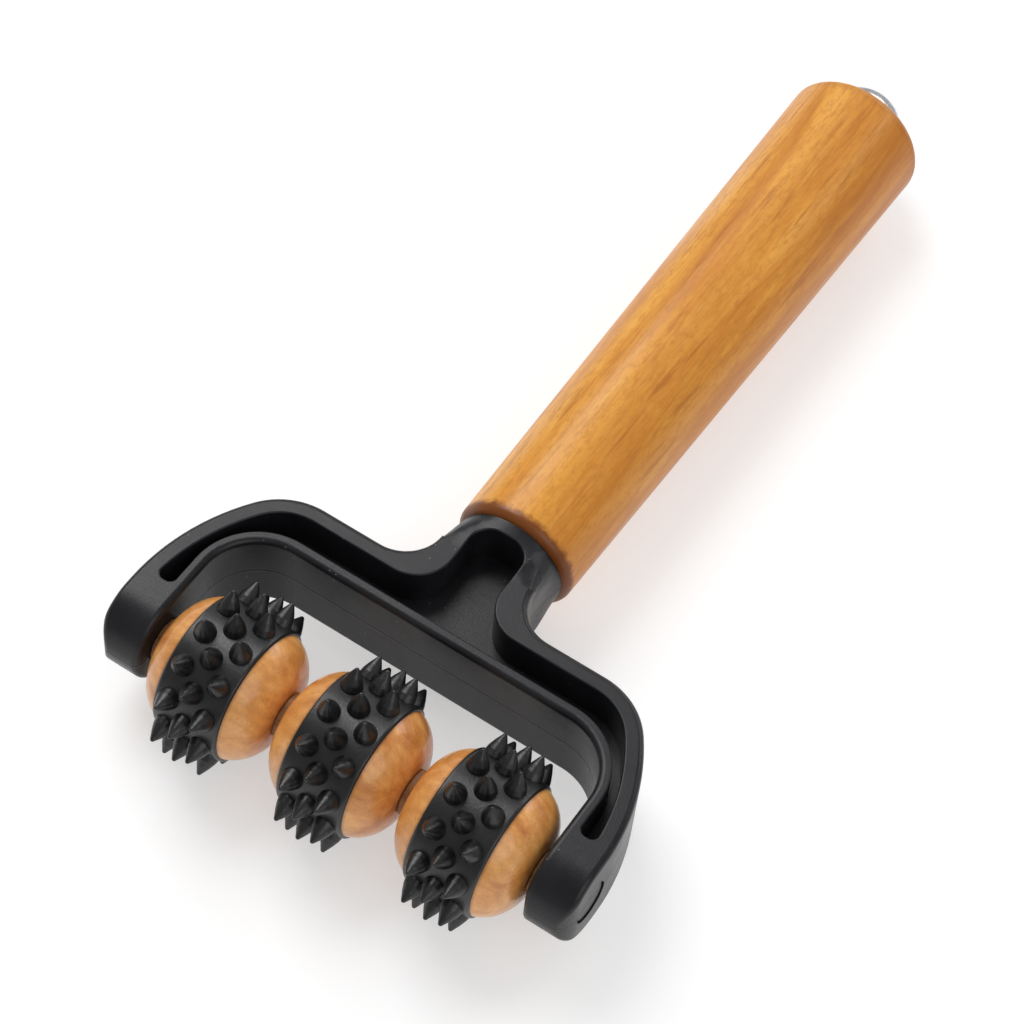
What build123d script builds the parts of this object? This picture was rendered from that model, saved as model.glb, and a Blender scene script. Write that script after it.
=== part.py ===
"""Hand-held roller massager: three spiked wooden beads on an axle in a moulded yoke with a wooden handle.

X runs along the axle, Y along the handle, Z is up. The origin is the bottom centre of the
bounding box, so the lowest spikes touch z = 0. Millimetres throughout.
"""

import os
from math import cos, radians, sin

from build123d import *

os.makedirs("parts", exist_ok=True)

# ---- beads and bands ----
BEAD_PITCH = 30.0
BEAD_HALF = 14.2
BEAD_RADIUS = 15.2
BEAD_CURVE_HALF = 14.5
BEAD_POWER = 2.8
BEAD_STATIONS = (14.2, 13.8, 13.0, 12.0, 10.5, 9.0, 7.7)
BEAD_PHASES = (5.0, 7.0, 10.0)
BAND_HALF = 7.7
BAND_SEAT_RADIUS = 12.9
BAND_CROWN_RADIUS = 14.9
SPIKES_PER_ROW = 12
SPIKE_ROW_PITCH = 4.3
SPIKE_BASE_RADIUS = 2.35
SPIKE_REACH = 19.7
SPIKE_TIP_RADIUS = 0.5
SPIKE_TIP_ANGLE = 28.0
SPIKE_ROOT = 13.9
SPIKE_SHANK_TOP = 15.0

# ---- axle line, measured from its middle ----
AXLE_RADIUS = 3.0
AXLE_HALF = 54.0
SLEEVE_RADIUS = 4.0
RUNNING_GAP = 0.05
SEAT_GAP = 0.03
END_PLAY = 0.15
SPACER_RADIUS = 5.0
SPACER_THICKNESS = 1.3
COUNTERBORE_RADIUS = 4.75
COUNTERBORE_FLOOR = 53.2
NUT_THICKNESS = 0.7
PLUG_RADIUS = 4.7
PLUG_START = 54.1
PLUG_END = 55.8

# ---- yoke, measured from the axle line ----
YOKE_HALF_THICKNESS = 10.65
YOKE_EDGE_FILLET = 1.3
WEB_THICKNESS = 2.6
ARM_INNER = 1.5 * BEAD_PITCH - (BEAD_PITCH / 2 - BEAD_HALF) + END_PLAY + SPACER_THICKNESS
ARM_OUTER = 56.1
ARM_TIP = -9.1
BLANK_END = ARM_TIP - 1.0
NOSE_CENTRE = ARM_TIP + YOKE_HALF_THICKNESS
BAR_INNER = 26.6
BAR_OUTER = 38.7
INNER_CORNER = 12.6
SHOULDER_START = 34.0
SHOULDER_RADIUS = 16.0
SHOULDER_TURN = 55.0
SIDE_RADIUS = ((ARM_OUTER - SHOULDER_START - SHOULDER_RADIUS * sin(radians(SHOULDER_TURN)))
               / (1 - sin(radians(SHOULDER_TURN))))
SIDE_END = (BAR_OUTER - SHOULDER_RADIUS * (1 - cos(radians(SHOULDER_TURN)))
            - SIDE_RADIUS * cos(radians(SHOULDER_TURN)))
NECK_HALF = 11.4
NECK_FLARE = 8.9
NECK_START = 46.5
NECK_MIDDLE = 51.5
NECK_TOP = 48.0
COLLAR_RADIUS = 12.4
COLLAR_END = 57.0

# ---- channel recess in each face of the yoke ----
INNER_LIP = 2.6
OUTER_LIP = 3.9
LIP_ROUNDING = 0.4
RECESS_END = 6.2
RECESS_INNER = ARM_INNER + INNER_LIP
RECESS_OUTER = ARM_OUTER - OUTER_LIP
RECESS_BOTTOM = BAR_INNER + INNER_LIP
RECESS_TOP = BAR_OUTER - OUTER_LIP
RECESS_NECK_HALF = 6.1
RECESS_NECK_END = 54.4
RECESS_NECK_FLARE = 8.5

# ---- handle ----
HANDLE_END = 201.4
HANDLE_NEAR_RADIUS = 13.8
HANDLE_FAR_RADIUS = 16.4
HANDLE_ROUNDING = 2.2
SPIGOT_RADIUS = 8.0
SPIGOT_LENGTH = 12.0
SPIGOT_END = COLLAR_END + SPIGOT_LENGTH
DOME_RADIUS = 12.0
DOME_SEAT_RADIUS = 12.3
DOME_SEAT_DEPTH = 1.5
DOME_TOP = HANDLE_END + DOME_RADIUS
DOME_HOLE_END = HANDLE_END + 6.0
STUD_RADIUS = 3.0
STUD_START = 57.6
STUD_END = 95.0
INSERT_RADIUS = 4.5
INSERT_LENGTH = 12.0
DOME_INSERT_START = HANDLE_END - DOME_SEAT_DEPTH - INSERT_LENGTH
DOME_STUD_LENGTH = 18.5

# ---- where the axle line stands in the part's frame ----
CLOSEST_LEAN = radians(min(BEAD_PHASES))
AXLE_Z = (SPIKE_REACH - SPIKE_TIP_RADIUS) * cos(CLOSEST_LEAN) + SPIKE_TIP_RADIUS
AXLE_Y = (AXLE_Z - DOME_TOP) / 2

mid_plane = Plane((0, AXLE_Y, AXLE_Z))
axle_axis = Axis((0, AXLE_Y, AXLE_Z), (1, 0, 0))
handle_axis = Axis((0, AXLE_Y, AXLE_Z), (0, 1, 0))


def across(x):
    """A plane square to the axle, with its local x along the handle."""
    return Plane((x, AXLE_Y, AXLE_Z), x_dir=(0, 1, 0), z_dir=(1, 0, 0))


def along(reach):
    """A plane square to the handle, at this distance from the axle line."""
    return Plane((0, AXLE_Y + reach, AXLE_Z), x_dir=(-1, 0, 0), z_dir=(0, 1, 0))


def corners(sketch, x, reach):
    """The sketch's two vertices at plus and minus x, at this distance along the handle."""
    near = ShapeList()
    for vertex in sketch.vertices():
        if abs(abs(vertex.X) - x) < 0.01 and abs(vertex.Y - reach) < 0.01:
            near.append(vertex)
    return near


def bead_radius(x):
    """The bead's radius this far from its middle."""
    return BEAD_RADIUS * (1 - (x / BEAD_CURVE_HALF) ** BEAD_POWER) ** (1 / BEAD_POWER)


def save(part, name):
    part.label = name
    export_step(part, f"parts/{name}.step")


# ---- yoke: one moulding, a U with round-nosed arms and a round neck ----
with BuildPart() as yoke:
    with BuildSketch(mid_plane) as outline:
        with BuildLine():
            shoulder = JernArc((SHOULDER_START, BAR_OUTER), (1, 0), SHOULDER_RADIUS, -SHOULDER_TURN)
            JernArc(shoulder @ 1, shoulder % 1, SIDE_RADIUS, SHOULDER_TURN - 90)
            Polyline((ARM_OUTER, SIDE_END), (ARM_OUTER, BLANK_END), (ARM_INNER, BLANK_END),
                     (ARM_INNER, BAR_INNER), (0, BAR_INNER))
            Polyline((0, NECK_TOP), (NECK_HALF, NECK_TOP), (NECK_HALF, BAR_OUTER), (SHOULDER_START, BAR_OUTER))
            mirror(about=Plane.YZ)
        make_face()
        for x, reach, radius in ((ARM_INNER, BAR_INNER, INNER_CORNER), (NECK_HALF, BAR_OUTER, NECK_FLARE),
                                 (ARM_INNER, BLANK_END, 3.8), (ARM_OUTER, BLANK_END, 5.8)):
            fillet(corners(outline, x, reach), radius)
    extrude(amount=YOKE_HALF_THICKNESS, both=True)

    # round noses in side view
    with BuildSketch(across(0)):
        with Locations((NOSE_CENTRE, 0)):
            Circle(YOKE_HALF_THICKNESS)
        with Locations((NOSE_CENTRE + 40, 0)):
            Rectangle(80, 2 * YOKE_HALF_THICKNESS)
    extrude(amount=ARM_OUTER + 1, both=True, mode=Mode.INTERSECT)
    skin = yoke.faces().filter_by(Axis.Z)
    skin = skin + yoke.faces().filter_by(lambda f: f.geom_type == GeomType.CYLINDER
                                         and abs(f.radius - YOKE_HALF_THICKNESS) < 0.01)
    rims = [edge for edge in skin.edges() if abs(edge.center().Y - AXLE_Y - NOSE_CENTRE) > 0.05]
    fillet(rims, YOKE_EDGE_FILLET)

    # neck: flat plate turning into the round collar
    with BuildSketch(along(NECK_START)):
        RectangleRounded(2 * NECK_HALF, 2 * YOKE_HALF_THICKNESS - 0.02, YOKE_EDGE_FILLET + 0.1)
    with BuildSketch(along(NECK_MIDDLE)):
        RectangleRounded(23.0, 22.0, 5)
    with BuildSketch(along(COLLAR_END)):
        Circle(COLLAR_RADIUS)
    loft()
    with BuildSketch(along(COLLAR_END - 1)):
        Circle(SPIGOT_RADIUS)
    extrude(amount=SPIGOT_LENGTH + 1)

    # channel on both faces, down to the web
    for side in (1, -1):
        floor = Plane((0, AXLE_Y, AXLE_Z + side * WEB_THICKNESS / 2), x_dir=(side, 0, 0), z_dir=(0, 0, side))
        with BuildSketch(floor) as channel:
            with BuildLine():
                bend = JernArc((SHOULDER_START, RECESS_TOP), (1, 0), SHOULDER_RADIUS - OUTER_LIP, -SHOULDER_TURN)
                JernArc(bend @ 1, bend % 1, SIDE_RADIUS - OUTER_LIP, SHOULDER_TURN - 90)
                Line((0, RECESS_BOTTOM), (ARM_INNER - INNER_CORNER, RECESS_BOTTOM))
                turn = JernArc((ARM_INNER - INNER_CORNER, RECESS_BOTTOM), (1, 0), INNER_CORNER + INNER_LIP, -90)
                Polyline(turn @ 1, (RECESS_INNER, SIDE_END), (RECESS_OUTER, SIDE_END))
                Polyline((0, RECESS_NECK_END), (RECESS_NECK_HALF, RECESS_NECK_END),
                         (RECESS_NECK_HALF, RECESS_TOP), (SHOULDER_START, RECESS_TOP))
                mirror(about=Plane.YZ)
            make_face()
            with Locations((0, RECESS_END - 20)):
                Rectangle(4 * ARM_OUTER, 40, mode=Mode.SUBTRACT)
            fillet(corners(channel, RECESS_NECK_HALF, RECESS_TOP), RECESS_NECK_FLARE)
            fillet(corners(channel, RECESS_NECK_HALF, RECESS_NECK_END), 4.5)
            fillet(channel.vertices().filter_by(lambda v: abs(v.Y - RECESS_END) < 0.01), 1.5)
        extrude(amount=16, mode=Mode.SUBTRACT)
        lip = [edge for edge in yoke.edges(Select.NEW) if side * (edge.center().Z - AXLE_Z) > 8]
        fillet(lip, LIP_ROUNDING)

    # axle bores, the counterbores outside them, and the hole for the brass insert
    for side in (1, -1):
        with BuildSketch(across(side * (ARM_INNER - 1))):
            Circle(AXLE_RADIUS + RUNNING_GAP)
        extrude(amount=side * 12, mode=Mode.SUBTRACT)
        with BuildSketch(across(side * COUNTERBORE_FLOOR)):
            Circle(COUNTERBORE_RADIUS)
        extrude(amount=side * 6, mode=Mode.SUBTRACT)
    with BuildSketch(along(SPIGOT_END - INSERT_LENGTH)):
        Circle(INSERT_RADIUS + SEAT_GAP)
    extrude(amount=INSERT_LENGTH + 1, mode=Mode.SUBTRACT)
save(yoke.part, "yoke")

# ---- axle, with the pieces that hold it ----
with BuildPart() as axle:
    with BuildSketch(across(-AXLE_HALF)):
        Circle(AXLE_RADIUS)
    extrude(amount=2 * AXLE_HALF)
    chamfer(axle.edges().filter_by(GeomType.CIRCLE), 0.4)
save(axle.part, "axle")

with BuildPart() as push_nuts:
    for side in (1, -1):
        with BuildSketch(across(side * (COUNTERBORE_FLOOR + 0.05))):
            Circle(COUNTERBORE_RADIUS - 0.25)
            Circle(AXLE_RADIUS + 0.02, mode=Mode.SUBTRACT)
            with PolarLocations(AXLE_RADIUS + 0.3, 6):
                Rectangle(1.0, 0.45, mode=Mode.SUBTRACT)
        extrude(amount=side * NUT_THICKNESS)
save(push_nuts.part, "push_nuts")

for side, label in ((-1, "left"), (1, "right")):
    with BuildPart() as plug:
        with BuildSketch(across(side * PLUG_START)):
            Circle(PLUG_RADIUS)
        extrude(amount=side * 0.7)
        with BuildSketch(across(side * (PLUG_START + 0.6))):
            Circle(PLUG_RADIUS - 0.2)
        extrude(amount=side * (PLUG_END - PLUG_START - 0.6))
        outer = plug.faces().sort_by(Axis.X)[-1 if side > 0 else 0]
        fillet(outer.edges(), 0.35)
    save(plug.part, f"axle_plug_{label}")

# ---- wooden spacers, one each side of every bead ----
for index, x in enumerate((-1.5, -0.5, 0.5, 1.5)):
    with BuildPart() as spacer:
        with BuildSketch(across(x * BEAD_PITCH - SPACER_THICKNESS / 2)):
            Circle(SPACER_RADIUS)
            Circle(AXLE_RADIUS + 0.1, mode=Mode.SUBTRACT)
        extrude(amount=SPACER_THICKNESS)
        fillet(spacer.edges().filter_by(lambda e: e.geom_type == GeomType.CIRCLE and e.radius > SPACER_RADIUS - 0.1), 0.3)
    save(spacer.part, f"spacer_{index + 1}")

# ---- one rubber spike, pointing along Z from the bead centre ----
with BuildPart() as spike:
    with BuildSketch(Plane.XZ):
        with BuildLine():
            point = CenterArc((0, SPIKE_REACH - SPIKE_TIP_RADIUS), SPIKE_TIP_RADIUS,
                              SPIKE_TIP_ANGLE, 90 - SPIKE_TIP_ANGLE)
            Polyline(point @ 0, (1.33, 17.8), (2.0, 16.3), (SPIKE_BASE_RADIUS, SPIKE_SHANK_TOP),
                     (SPIKE_BASE_RADIUS, SPIKE_ROOT), (0, SPIKE_ROOT), point @ 1)
        make_face()
    revolve(axis=Axis.Z)

# ---- beads, each with its nylon sleeve and its spiked band ----
for index, phase in enumerate(BEAD_PHASES):
    centre = (index - 1) * BEAD_PITCH
    with BuildPart() as bead:
        with BuildSketch(Plane((centre, AXLE_Y, AXLE_Z), z_dir=(0, 0, 1))):
            with BuildLine():
                Polyline((0, SLEEVE_RADIUS + SEAT_GAP), (BEAD_HALF, SLEEVE_RADIUS + SEAT_GAP),
                         (BEAD_HALF, bead_radius(BEAD_HALF)))
                Spline([(x, bead_radius(x)) for x in BEAD_STATIONS])
                Polyline((BAND_HALF, bead_radius(BAND_HALF)), (BAND_HALF, BAND_SEAT_RADIUS), (0, BAND_SEAT_RADIUS))
                mirror(about=Plane.YZ)
            make_face()
        revolve(axis=axle_axis)
    save(bead.part, f"bead_{index + 1}")

    with BuildPart() as sleeve:
        with BuildSketch(across(centre - BEAD_HALF)):
            Circle(SLEEVE_RADIUS)
            Circle(AXLE_RADIUS + RUNNING_GAP, mode=Mode.SUBTRACT)
        extrude(amount=2 * BEAD_HALF)
    save(sleeve.part, f"bead_sleeve_{index + 1}")

    rows = []
    for row in (-1, 0, 1):
        for step in range(SPIKES_PER_ROW):
            turn = radians(phase + 180 / SPIKES_PER_ROW * (row == 0) + 360 / SPIKES_PER_ROW * step)
            rows.append(Plane((centre + row * SPIKE_ROW_PITCH, AXLE_Y, AXLE_Z), x_dir=(1, 0, 0),
                              z_dir=(0, cos(turn), sin(turn))))
    with BuildPart() as band:
        half = BAND_HALF - SEAT_GAP
        with BuildSketch(Plane((centre, AXLE_Y, AXLE_Z), z_dir=(0, 0, 1))):
            with Locations((0, (BAND_CROWN_RADIUS + BAND_SEAT_RADIUS + SEAT_GAP) / 2)):
                Rectangle(2 * half, BAND_CROWN_RADIUS - BAND_SEAT_RADIUS - SEAT_GAP)
        revolve(axis=axle_axis)
        fillet(band.edges().filter_by(lambda e: e.geom_type == GeomType.CIRCLE
                                      and abs(e.radius - BAND_CROWN_RADIUS) < 0.01), 0.6)
        with Locations(*rows):
            add(spike.part)
    save(band.part, f"band_{index + 1}")

# ---- handle: turned wood on the collar's spigot ----
with BuildPart() as handle:
    with BuildSketch(mid_plane) as turned:
        with BuildLine():
            Polyline((SPIGOT_RADIUS + SEAT_GAP, COLLAR_END), (HANDLE_NEAR_RADIUS, COLLAR_END),
                     (HANDLE_FAR_RADIUS, HANDLE_END), (DOME_SEAT_RADIUS, HANDLE_END),
                     (DOME_SEAT_RADIUS, HANDLE_END - DOME_SEAT_DEPTH),
                     (INSERT_RADIUS + SEAT_GAP, HANDLE_END - DOME_SEAT_DEPTH),
                     (INSERT_RADIUS + SEAT_GAP, DOME_INSERT_START), (0, DOME_INSERT_START),
                     (0, STUD_END + 1), (STUD_RADIUS + SEAT_GAP, STUD_END + 1),
                     (STUD_RADIUS + SEAT_GAP, SPIGOT_END + 0.3),
                     (SPIGOT_RADIUS + SEAT_GAP, SPIGOT_END + 0.3), (SPIGOT_RADIUS + SEAT_GAP, COLLAR_END))
        make_face()
        fillet(corners(turned, HANDLE_NEAR_RADIUS, COLLAR_END), HANDLE_ROUNDING)
        fillet(corners(turned, HANDLE_FAR_RADIUS, HANDLE_END), HANDLE_ROUNDING)
    revolve(axis=handle_axis)
save(handle.part, "handle")

# ---- threaded inserts: yoke neck and handle end ----
for name, start in (("neck_insert", SPIGOT_END - INSERT_LENGTH), ("dome_insert", DOME_INSERT_START)):
    with BuildPart() as insert:
        with BuildSketch(along(start)):
            Circle(INSERT_RADIUS)
            Circle(STUD_RADIUS + SEAT_GAP, mode=Mode.SUBTRACT)
        extrude(amount=INSERT_LENGTH)
        with BuildSketch(along(start + INSERT_LENGTH / 2 - 0.8)):
            Circle(INSERT_RADIUS + 1)
            Circle(INSERT_RADIUS - 0.5, mode=Mode.SUBTRACT)
        extrude(amount=1.6, mode=Mode.SUBTRACT)
    save(insert.part, name)

# ---- studs ----
with BuildPart() as handle_stud:
    with BuildSketch(mid_plane):
        Polygon((0, STUD_START), (STUD_RADIUS - 0.6, STUD_START), (STUD_RADIUS, STUD_START + 0.6),
                (STUD_RADIUS, STUD_END - 8), (0.6, STUD_END), (0, STUD_END), align=None)
    revolve(axis=handle_axis)
save(handle_stud.part, "handle_stud")

with BuildPart() as dome_stud:
    with BuildSketch(along(DOME_INSERT_START + 0.5)):
        Circle(STUD_RADIUS)
    extrude(amount=DOME_STUD_LENGTH)
    chamfer(dome_stud.edges().filter_by(GeomType.CIRCLE), 0.5)
save(dome_stud.part, "dome_stud")

# ---- polished dome in the handle's end ----
with BuildPart() as end_dome:
    with BuildSketch(mid_plane):
        with BuildLine():
            seat = HANDLE_END - DOME_SEAT_DEPTH
            inside = Polyline((0, DOME_TOP), (0, DOME_HOLE_END), (STUD_RADIUS + SEAT_GAP, DOME_HOLE_END),
                              (STUD_RADIUS + SEAT_GAP, seat), (DOME_RADIUS, seat), (DOME_RADIUS, HANDLE_END))
            CenterArc((0, HANDLE_END), DOME_RADIUS, 0, 90)
        make_face()
    revolve(axis=handle_axis)
save(end_dome.part, "end_dome")
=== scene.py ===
"""Looks for the hand-held roller massager: lacquered wood, textured plastic, rubber and metal.

Lengths are metres in the frame's own axes: X along the axle, Y along the handle, Z up.
"""
import math

import bpy
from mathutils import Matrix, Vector

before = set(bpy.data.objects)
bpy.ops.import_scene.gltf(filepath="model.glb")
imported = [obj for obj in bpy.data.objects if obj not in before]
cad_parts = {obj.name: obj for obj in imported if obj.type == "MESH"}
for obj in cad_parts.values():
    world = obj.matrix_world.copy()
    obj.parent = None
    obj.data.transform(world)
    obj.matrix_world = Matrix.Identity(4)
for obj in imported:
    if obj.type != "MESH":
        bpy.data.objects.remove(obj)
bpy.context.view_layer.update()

# ---- the object ----
AXLE_Y = -0.09689
AXLE_Z = 0.01963
BEAD_PITCH = 0.03
# along Y: the near end's shade fades out here, and the far end's fades in
HANDLE_NEAR_SHADE = (AXLE_Y + 0.0587, AXLE_Y + 0.0603)
HANDLE_FAR_SHADE = (AXLE_Y + 0.1975, AXLE_Y + 0.2012)
# along X: painted shade, broken into blotches, fades in towards the handle's +X side, away from
# the key lamp
HANDLE_SHADED_SIDE = (-0.006, 0.010)
# from a bead's middle: the painted shade on the wood beside the band's edge fades out between
# these
BAND_EDGE_SHADE = (0.0075, 0.0083)
# from the axle's height: half the width of the moulding's parting line
PARTING_LINE = (0.00010, 0.00026)

# ---- the floor, which meets the lowest spikes and the handle's far end ----
FLOOR_SIZE = 8
FLOOR_Z = -0.0002
FLOOR_GLOW = 0.47
HANDLE_END_RISE = 0.0032
HANDLE_END_REACH = 0.199

# ---- the light: name, place, size and watts of each lamp, all facing the origin ----
LAMPS = (
    ("key", (-0.75, 0.35, 1.15), (0.9, 0.9), 13),
    ("fill", (0.9, -0.5, 0.9), (1.0, 1.0), 4.5),
    ("back", (0.25, 1.2, 0.7), (1.2, 0.5), 5),
)
WORLD_STRENGTH = 0.36

# ---- the camera ----
CAMERA_PLACE = (0.16245, -0.34370, 0.53344)
CAMERA_TURN_DEGREES = (34.568, -3.595, 33.467)
CAMERA_LENS_MM = 105.47
CAMERA_SENSOR_MM = 36
CAMERA_CLIP_START = 0.01


class Net:
    """A material's node tree, with the links made as nodes are added."""

    def __init__(self, name):
        self.material = bpy.data.materials.new(name)
        self.material.use_nodes = True
        self.tree = self.material.node_tree
        self.shader = self.tree.nodes["Principled BSDF"]
        self.place = self.add("ShaderNodeTexCoord").outputs["Object"]

    def add(self, kind, settings=None, **inputs):
        node = self.tree.nodes.new(kind)
        for key, value in (settings or {}).items():
            setattr(node, key, value)
        for key, value in inputs.items():
            self.put(node.inputs[key.replace("_", " ")], value)
        return node

    def put(self, socket, value):
        if isinstance(value, bpy.types.NodeSocket):
            self.tree.links.new(value, socket)
        else:
            socket.default_value = value

    def stretch(self, scale, move=(0, 0, 0), turn=(0, 0, 0)):
        node = self.add("ShaderNodeMapping", Scale=scale, Location=move, Rotation=turn,
                        Vector=self.place)
        return node.outputs["Vector"]

    def axis(self, name):
        return self.add("ShaderNodeSeparateXYZ", Vector=self.place).outputs[name]

    def noise(self, vector, scale, detail, rough=0.5, distortion=0.0):
        node = self.add("ShaderNodeTexNoise", Vector=vector, Scale=scale, Detail=detail,
                        Roughness=rough, Distortion=distortion)
        return node.outputs["Fac"]

    def rings(self, vector, scale, distortion, detail_scale):
        node = self.add("ShaderNodeTexWave", {"bands_direction": "DIAGONAL"}, Vector=vector,
                        Scale=scale, Distortion=distortion, Detail=3.0,
                        Detail_Scale=detail_scale)
        return node.outputs["Fac"]

    def cells(self, vector, scale):
        node = self.add("ShaderNodeTexVoronoi", Vector=vector, Scale=scale)
        return node.outputs["Distance"]

    def ramp(self, value, *stops):
        node = self.add("ShaderNodeValToRGB", Fac=value)
        band = node.color_ramp
        while len(band.elements) < len(stops):
            band.elements.new(0.5)
        for element, (at, colour) in zip(band.elements, stops):
            element.position = at
            element.color = (*colour, 1)
        return node.outputs["Color"]

    def span(self, value, a, b, c=0.0, d=1.0):
        """Map a..b to c..d, held at the ends."""
        node = self.add("ShaderNodeMapRange", Value=value)
        for key, number in (("From Min", a), ("From Max", b), ("To Min", c), ("To Max", d)):
            node.inputs[key].default_value = number
        return node.outputs["Result"]

    def math(self, operation, a, b=0.0):
        node = self.add("ShaderNodeMath", {"operation": operation})
        self.put(node.inputs[0], a)
        self.put(node.inputs[1], b)
        return node.outputs[0]

    def mix(self, factor, colour, other):
        node = self.add("ShaderNodeMix", {"data_type": "RGBA"})
        self.put(node.inputs[0], factor)
        self.put(node.inputs[6], colour)
        self.put(node.inputs[7], (*other, 1))
        return node.outputs[2]

    def bump(self, height, distance, strength, normal=None):
        node = self.add("ShaderNodeBump", Height=height, Distance=distance, Strength=strength)
        if normal:
            self.put(node.inputs["Normal"], normal)
        return node.outputs["Normal"]

    def wear(self, colour, rough, normal, **sockets):
        """Put the finished colour, roughness and normal on the shader."""
        self.put(self.shader.inputs["Base Color"], colour)
        self.put(self.shader.inputs["Roughness"], rough)
        self.put(self.shader.inputs["Normal"], normal)
        for key, value in sockets.items():
            self.put(self.shader.inputs[key.replace("_", " ")], value)


# ---- materials ----
def handle_wood():
    net = Net("handle_wood")
    along = net.stretch((1, 0.11, 1), turn=(0.012, 0, 0.02))
    broad = net.noise(along, 105, 8, 0.66, 0.5)
    colour = net.ramp(broad, (0.32, (0.48, 0.150, 0.012)), (0.45, (0.66, 0.262, 0.028)),
                      (0.55, (0.76, 0.345, 0.048)), (0.68, (0.82, 0.410, 0.075)))
    rings = net.rings(net.stretch((1, 0.03, 1)), 75.0, 7.0, 0.8)
    colour = net.mix(net.math("MULTIPLY", rings, 0.22), colour, (0.50, 0.205, 0.045))
    patch = net.noise(net.stretch((1, 0.22, 1), move=(3.0, 1.0, 2.0)), 30, 9, 0.68)
    # painted shade on the +X side, away from the key lamp, broken up by blotch noise
    shaded_side = net.span(net.axis("X"), *HANDLE_SHADED_SIDE)
    blotchy_side_shade = net.math("MULTIPLY", net.span(patch, 0.40, 0.62), shaded_side)
    colour = net.mix(net.math("MULTIPLY", blotchy_side_shade, 0.80), colour, (0.45, 0.135, 0.012))
    fibre = net.noise(net.stretch((1, 0.05, 1)), 1300, 4, 0.7)
    colour = net.mix(net.span(fibre, 0.52, 0.72, 0, 0.55), colour, (0.40, 0.13, 0.018))
    streak = net.noise(net.stretch((1, 0.07, 1), move=(5.0, 2.0, 4.0)), 420, 5, 0.7)
    colour = net.mix(net.span(streak, 0.56, 0.66, 0, 0.60), colour, (0.36, 0.105, 0.010))
    mottle = net.noise(net.stretch((1, 0.4, 1)), 900, 3, 0.7)
    colour = net.mix(net.span(mottle, 0.48, 0.66, 0, 0.50), colour, (0.50, 0.175, 0.020))
    pores = net.cells(net.stretch((1, 0.05, 1)), 1100.0)
    colour = net.mix(net.span(pores, 0.06, 0.16, 0.35, 0.0), colour, (0.30, 0.11, 0.02))
    # the ends are darker, with a ragged edge
    y = net.axis("Y")
    ragged = net.math("SUBTRACT", net.noise(net.place, 420, 5, 0.7), 0.5)
    edge = net.math("ADD", y, net.math("MULTIPLY", ragged, 0.0036))
    near = net.span(edge, *HANDLE_NEAR_SHADE, 0.95, 0)
    far = net.span(edge, *HANDLE_FAR_SHADE, 0, 0.55)
    colour = net.mix(near, colour, (0.17, 0.042, 0.005))
    colour = net.mix(far, colour, (0.30, 0.105, 0.020))
    rough = net.span(net.noise(net.stretch((1, 0.1, 1)), 260, 4), 0.3, 0.7, 0.33, 0.50)
    height = net.math("ADD", net.math("MULTIPLY", fibre, 0.5), net.math("MULTIPLY", broad, 0.8))
    normal = net.bump(height, 0.00012, 0.55)
    normal = net.bump(net.noise(net.stretch((1, 0.5, 1)), 130, 2), 0.0006, 0.20, normal)
    net.wear(colour, rough, normal, Coat_Weight=0.18, Coat_Roughness=0.16,
             Specular_IOR_Level=0.25)
    return net.material


def bead_wood(shift):
    """Bead 1, 2 or 3, each cut from another part of the grain."""
    net = Net(f"bead_wood_{shift}")
    along = net.stretch((0.16, 1, 1), move=(0.1 * shift, 0.37 * shift, 0.11 * shift),
                        turn=(0.3 * shift, 0.1, 0.05))
    broad = net.noise(along, 170, 8, 0.62, 0.5)
    colour = net.ramp(broad, (0.32, (0.50, 0.170, 0.032)), (0.46, (0.68, 0.285, 0.068)),
                      (0.57, (0.78, 0.370, 0.105)), (0.72, (0.85, 0.455, 0.155)))
    rings = net.rings(along, 190.0, 5.0, 1.2)
    colour = net.mix(net.math("MULTIPLY", rings, 0.22), colour, (0.50, 0.185, 0.050))
    fibre = net.noise(net.stretch((0.10, 1, 1)), 2000, 4, 0.7)
    colour = net.mix(net.span(fibre, 0.52, 0.72, 0, 0.5), colour, (0.40, 0.14, 0.035))
    from_middle = net.math("SUBTRACT", net.axis("X"), (shift - 2) * BEAD_PITCH)
    # painted shade in the crease where the rubber band meets the wood
    band_edge_shade = net.span(net.math("ABSOLUTE", from_middle), *BAND_EDGE_SHADE, 0.75, 0)
    colour = net.mix(band_edge_shade, colour, (0.12, 0.045, 0.015))
    rough = net.span(net.noise(net.place, 380, 4), 0.3, 0.7, 0.30, 0.46)
    normal = net.bump(net.math("ADD", fibre, broad), 0.00010, 0.5)
    net.wear(colour, rough, normal, Coat_Weight=0.55, Coat_Roughness=0.09,
             Specular_IOR_Level=0.40)
    return net.material


def yoke_plastic():
    """Fine moulded grain with a little dust, and the parting line at the axle's height."""
    net = Net("black_plastic")
    cloud = net.noise(net.place, 120, 4, 0.55)
    grain = net.noise(net.place, 3600, 2, 0.5)
    colour = net.ramp(cloud, (0.32, (0.0075, 0.0078, 0.0095)),
                      (0.70, (0.0140, 0.0143, 0.0170)))
    dust = net.cells(net.place, 420.0)
    speck = net.math("MULTIPLY", net.span(dust, 0.05, 0.09, 1, 0), net.span(cloud, 0.46, 0.56))
    colour = net.mix(net.math("MULTIPLY", speck, 0.6), colour, (0.20, 0.20, 0.21))
    scuff = net.noise(net.stretch((1, 6, 3)), 300, 3, 0.7)
    rough = net.math("ADD", net.span(cloud, 0.3, 0.7, 0.28, 0.38),
                     net.span(scuff, 0.55, 0.75, 0, 0.08))
    offset = net.math("ABSOLUTE", net.math("SUBTRACT", net.axis("Z"), AXLE_Z))
    seam = net.span(offset, *PARTING_LINE, 1, 0)
    normal = net.bump(grain, 0.00006, 0.55)
    normal = net.bump(seam, 0.00012, 0.8, normal)
    normal = net.bump(cloud, 0.0004, 0.14, normal)
    net.wear(colour, rough, normal, Specular_IOR_Level=0.30)
    return net.material


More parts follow.
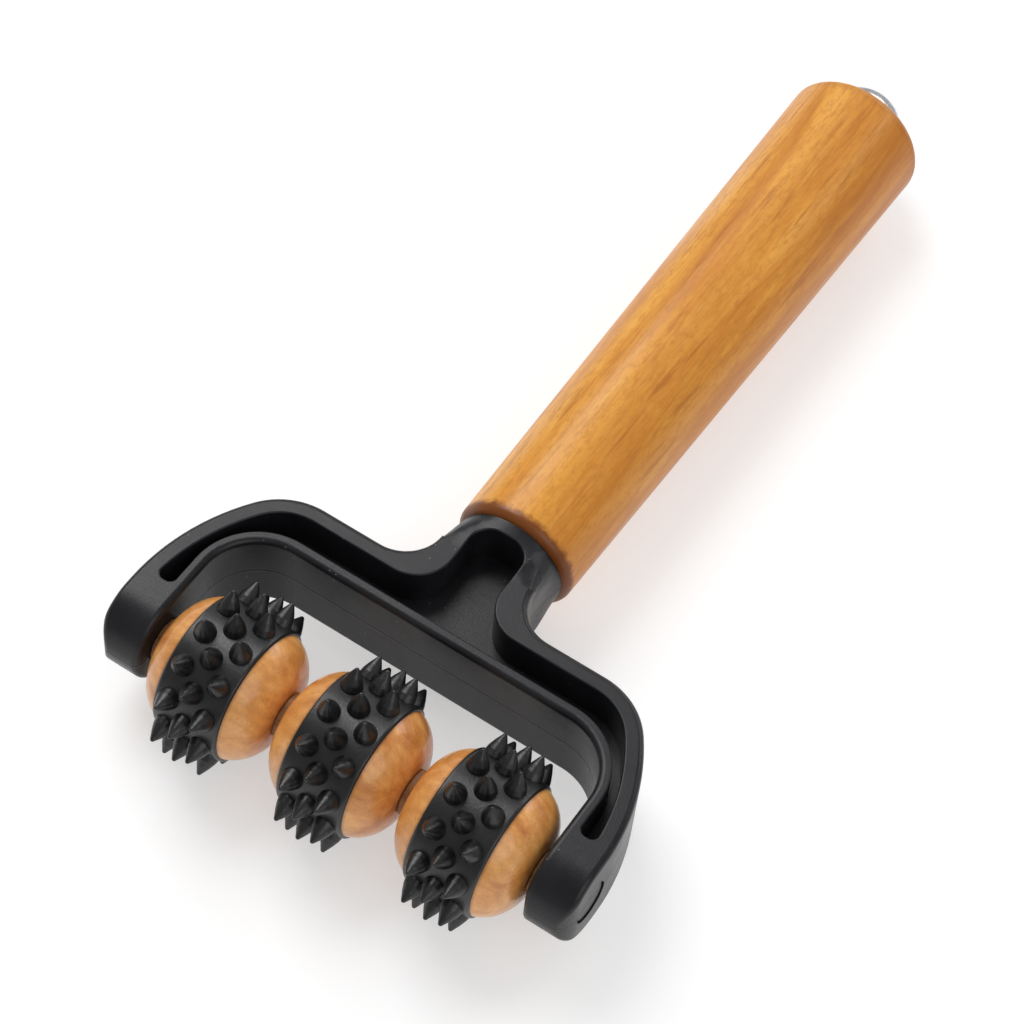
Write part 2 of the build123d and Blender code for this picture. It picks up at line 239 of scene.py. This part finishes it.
def rubber():
    net = Net("black_rubber")
    cloud = net.noise(net.place, 300, 4, 0.55)
    grain = net.noise(net.place, 2600, 3, 0.6)
    colour = net.ramp(cloud, (0.3, (0.0040, 0.0042, 0.0050)), (0.72, (0.0095, 0.0097, 0.0110)))
    rough = net.span(grain, 0.3, 0.7, 0.29, 0.42)
    normal = net.bump(grain, 0.00007, 0.5)
    normal = net.bump(cloud, 0.0003, 0.2, normal)
    net.wear(colour, rough, normal, Specular_IOR_Level=0.55)
    return net.material


def spacer_wood():
    net = Net("spacer_wood")
    grain = net.noise(net.stretch((0.3, 1, 1)), 700, 4, 0.6)
    colour = net.ramp(grain, (0.3, (0.20, 0.085, 0.030)), (0.7, (0.44, 0.215, 0.085)))
    rough = net.span(grain, 0.3, 0.7, 0.45, 0.62)
    net.wear(colour, rough, net.bump(grain, 0.0001, 0.6))
    return net.material


def metal(name, colour, dark, low, high, scale, brushed):
    """Metal between two colours and two roughnesses, with its noise stretched by brushed."""
    net = Net(name)
    cloud = net.noise(net.stretch(brushed), scale, 4, 0.6)
    fine = net.noise(net.stretch(brushed), scale * 9, 3, 0.6)
    net.wear(net.ramp(cloud, (0.3, dark), (0.7, colour)), net.span(fine, 0.3, 0.7, low, high),
             net.bump(fine, 0.00003, 0.35), Metallic=1.0)
    return net.material


def nylon():
    net = Net("nylon")
    cloud = net.noise(net.place, 500, 4, 0.5)
    net.wear(net.ramp(cloud, (0.3, (0.62, 0.60, 0.54)), (0.7, (0.74, 0.72, 0.66))),
             net.span(cloud, 0.3, 0.7, 0.40, 0.52), net.bump(cloud, 0.00005, 0.4),
             Subsurface_Weight=0.1)
    return net.material


def floor_material():
    """Pale and glowing, so that the ground stays white."""
    net = Net("floor")
    cloud = net.noise(net.place, 6, 3)
    net.wear(net.ramp(cloud, (0.3, (0.58, 0.58, 0.585)), (0.7, (0.61, 0.61, 0.61))),
             net.span(cloud, 0.3, 0.7, 0.7, 0.8), net.bump(cloud, 0.0002, 0.1),
             Emission_Color=(1, 1, 1, 1), Emission_Strength=FLOOR_GLOW)
    return net.material


# ---- each piece gets its material ----
plastic = yoke_plastic()
steel = metal("steel", (0.62, 0.62, 0.63), (0.46, 0.46, 0.47), 0.24, 0.40, 240, (0.2, 1, 1))
brass = metal("brass", (0.78, 0.58, 0.26), (0.60, 0.42, 0.17), 0.26, 0.42, 260, (1, 1, 1))
dome = metal("dome_metal", (0.90, 0.90, 0.92), (0.80, 0.80, 0.83), 0.10, 0.20, 160, (1, 1, 1))
finish = {
    "yoke": plastic, "axle_plug_left": plastic, "axle_plug_right": plastic,
    "handle": handle_wood(),
    "axle": steel, "push_nuts": steel, "handle_stud": steel, "dome_stud": steel,
    "neck_insert": brass, "dome_insert": brass, "end_dome": dome,
}
spacers = spacer_wood()
bands = rubber()
sleeves = nylon()
for number in (1, 2, 3):
    finish[f"bead_{number}"] = bead_wood(number)
    finish[f"band_{number}"] = bands
    finish[f"bead_sleeve_{number}"] = sleeves
for number in (1, 2, 3, 4):
    finish[f"spacer_{number}"] = spacers
for name, material in finish.items():
    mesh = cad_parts[name].data
    mesh.materials.clear()
    mesh.materials.append(material)

# ---- floor, tilted to where the object comes to lean ----
lean = math.atan2(HANDLE_END_RISE, HANDLE_END_REACH)
bpy.ops.mesh.primitive_plane_add(size=FLOOR_SIZE, location=(0, AXLE_Y, FLOOR_Z),
                                 rotation=(lean, 0, 0))
floor = bpy.context.object
floor.name = "floor"
floor.data.materials.append(floor_material())


# ---- light ----
def lamp(name, place, size, watts):
    data = bpy.data.lights.new(name, "AREA")
    data.shape = "RECTANGLE"
    data.size, data.size_y = size
    data.energy = watts
    lamp_object = bpy.data.objects.new(name, data)
    bpy.context.collection.objects.link(lamp_object)
    lamp_object.location = place
    lamp_object.rotation_euler = (-Vector(place)).to_track_quat("-Z", "Y").to_euler()


for row in LAMPS:
    lamp(*row)

world = bpy.data.worlds.new("studio")
world.use_nodes = True
background = world.node_tree.nodes["Background"]
background.inputs["Color"].default_value = (1, 1, 1, 1)
background.inputs["Strength"].default_value = WORLD_STRENGTH
bpy.context.scene.world = world
bpy.context.scene.view_settings.view_transform = "Standard"

# ---- camera ----
camera_data = bpy.data.cameras.new("camera")
camera_data.sensor_width = CAMERA_SENSOR_MM
camera_data.lens = CAMERA_LENS_MM
camera_data.clip_start = CAMERA_CLIP_START
camera = bpy.data.objects.new("camera", camera_data)
camera.location = CAMERA_PLACE
camera.rotation_euler = [math.radians(angle) for angle in CAMERA_TURN_DEGREES]
bpy.context.collection.objects.link(camera)
bpy.context.scene.camera = camera
